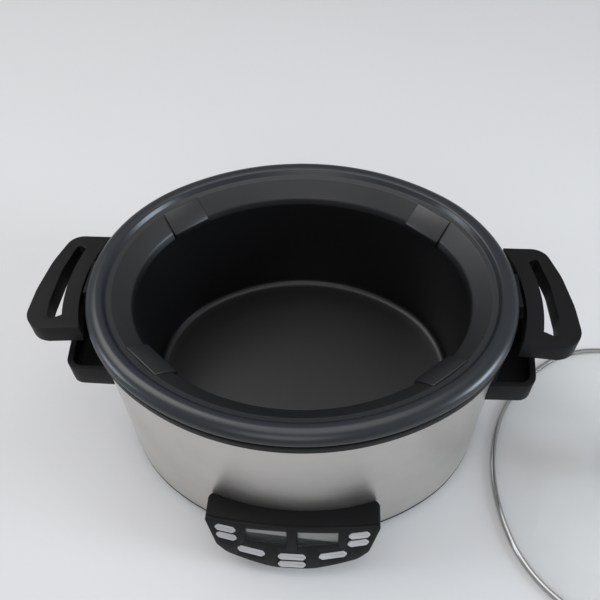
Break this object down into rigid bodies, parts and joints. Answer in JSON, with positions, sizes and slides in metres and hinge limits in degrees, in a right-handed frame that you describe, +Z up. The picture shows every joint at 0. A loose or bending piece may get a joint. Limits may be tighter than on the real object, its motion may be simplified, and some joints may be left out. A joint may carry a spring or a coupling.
{
  "type": "slow cooker",
  "caption": "Oval slow cooker: steel heating base with a tilted push-button panel, lift-out dark pot with side handles, and a domed glass lid laid beside it.",
  "frame": {"origin": "on the table under the middle of the heating base", "axes": "+X to the cooker's right, along the oval's long way; -Y to its front, where the panel is; +Z up"},
  "size_m": [0.6669, 0.3741, 0.195],
  "materials": {
    "black_plastic": "fine matt black",
    "handle_plastic": "matt black phenolic",
    "rubber": "soft black rubber",
    "brushed_steel": "stainless steel brushed round the body",
    "lid_steel": "bright rolled stainless band",
    "plated_steel": "zinc plated",
    "bracket_steel": "black coated steel strap",
    "element_metal": "dull steel sheath",
    "well_metal": "dull aluminised sheet",
    "cast_plate": "cast aluminium",
    "insulation": "glass wool blanket",
    "circuit": "green board",
    "pot_coating": "die-cast aluminium with dark non-stick coating",
    "fascia_gloss": "gloss black",
    "display_grey": "unlit liquid crystal",
    "clear_window": "clear smoked window",
    "button_silver": "silver painted plastic",
    "lid_glass": "clear tempered glass"
  },
  "bodies": {
    "base": {"base_collar": "black_plastic", "base_handle_left": "handle_plastic", "base_handle_right": "handle_plastic", "base_handle_screws": "plated_steel", "base_pan": "black_plastic", "base_screws": "plated_steel", "control_board": "circuit", "cord_gland": "black_plastic", "display_left": "display_grey", "display_lens_left": "clear_window", "display_lens_right": "clear_window", "display_right": "display_grey", "filter_capacitor": "cast_plate", "heater_plate": "cast_plate", "heating_element": "element_metal", "heating_well": "well_metal", "insulation_sleeve": "insulation", "outer_shell": "brushed_steel", "panel_fascia": "fascia_gloss", "panel_housing": "black_plastic", "panel_screws": "plated_steel", "power_board": "circuit", "power_relay": "black_plastic", "rubber_feet": "rubber", "sensor_bracket": "plated_steel", "sensor_spring": "plated_steel", "side_band_heater": "well_metal", "terminal_block": "circuit", "thermal_fuse": "element_metal", "well_standoffs": "plated_steel"},
    "pot": {"cooking_pot": "pot_coating", "pot_handle_bracket_left": "bracket_steel", "pot_handle_bracket_right": "bracket_steel", "pot_handle_left": "handle_plastic", "pot_handle_right": "handle_plastic", "pot_handle_screws": "plated_steel"},
    "lid": {"lid_glass": "lid_glass", "lid_knob": "handle_plastic", "lid_knob_washer": "rubber", "lid_rim": "lid_steel", "lid_screw": "plated_steel", "lid_vent_eyelet": "plated_steel"},
    "sensor": {"temperature_sensor": "cast_plate"},
    "button_temp_up": {"button_temp_up": "button_silver"},
    "button_temp_down": {"button_temp_down": "button_silver"},
    "button_time_up": {"button_time_up": "button_silver"},
    "button_time_down": {"button_time_down": "button_silver"},
    "button_slow_cook": {"button_slow_cook": "button_silver"},
    "button_brown": {"button_brown": "button_silver"},
    "button_steam": {"button_steam": "button_silver"},
    "button_start_stop": {"button_start_stop": "button_silver"}
  },
  "joints": [
    {"name": "button_temp_up_press", "type": "slide", "parent": "base", "child": "button_temp_up", "axis": [0.1147, 0.9335, -0.3398], "range_m": [0, 0.0015], "stiffness_N_per_m": 200, "springref_m": -0.002},
    {"name": "button_temp_down_press", "type": "slide", "parent": "base", "child": "button_temp_down", "axis": [0.1134, 0.9336, -0.3398], "range_m": [0, 0.0015], "stiffness_N_per_m": 200, "springref_m": -0.002},
    {"name": "button_time_up_press", "type": "slide", "parent": "base", "child": "button_time_up", "axis": [-0.1147, 0.9335, -0.3398], "range_m": [0, 0.0015], "stiffness_N_per_m": 200, "springref_m": -0.002},
    {"name": "button_time_down_press", "type": "slide", "parent": "base", "child": "button_time_down", "axis": [-0.1134, 0.9336, -0.3398], "range_m": [0, 0.0015], "stiffness_N_per_m": 200, "springref_m": -0.002},
    {"name": "button_slow_cook_press", "type": "slide", "parent": "base", "child": "button_slow_cook", "axis": [0.0709, 0.9373, -0.3412], "range_m": [0, 0.0015], "stiffness_N_per_m": 200, "springref_m": -0.002},
    {"name": "button_brown_press", "type": "slide", "parent": "base", "child": "button_brown", "axis": [0, 0.9397, -0.342], "range_m": [0, 0.0015], "stiffness_N_per_m": 200, "springref_m": -0.002},
    {"name": "button_steam_press", "type": "slide", "parent": "base", "child": "button_steam", "axis": [-0.0709, 0.9373, -0.3412], "range_m": [0, 0.0015], "stiffness_N_per_m": 200, "springref_m": -0.002},
    {"name": "button_start_stop_press", "type": "slide", "parent": "base", "child": "button_start_stop", "axis": [0, 0.9397, -0.342], "range_m": [0, 0.0015], "stiffness_N_per_m": 200, "springref_m": -0.002},
    {"name": "pot_lift", "type": "slide", "parent": "base", "child": "pot", "axis": [0, 0, 1], "range_m": [0, 0.2]},
    {"name": "sensor_plunge", "type": "slide", "parent": "base", "child": "sensor", "axis": [0, 0, 1], "range_m": [-0.002, 0], "stiffness_N_per_m": 300, "springref_m": 0.003, "deforming": ["sensor_spring"]},
    {"name": "lid_lift", "type": "slide", "parent": "base", "child": "lid", "axis": [0.7071, 0, 0.7071], "range_m": [0, 0.25]}
  ]
}
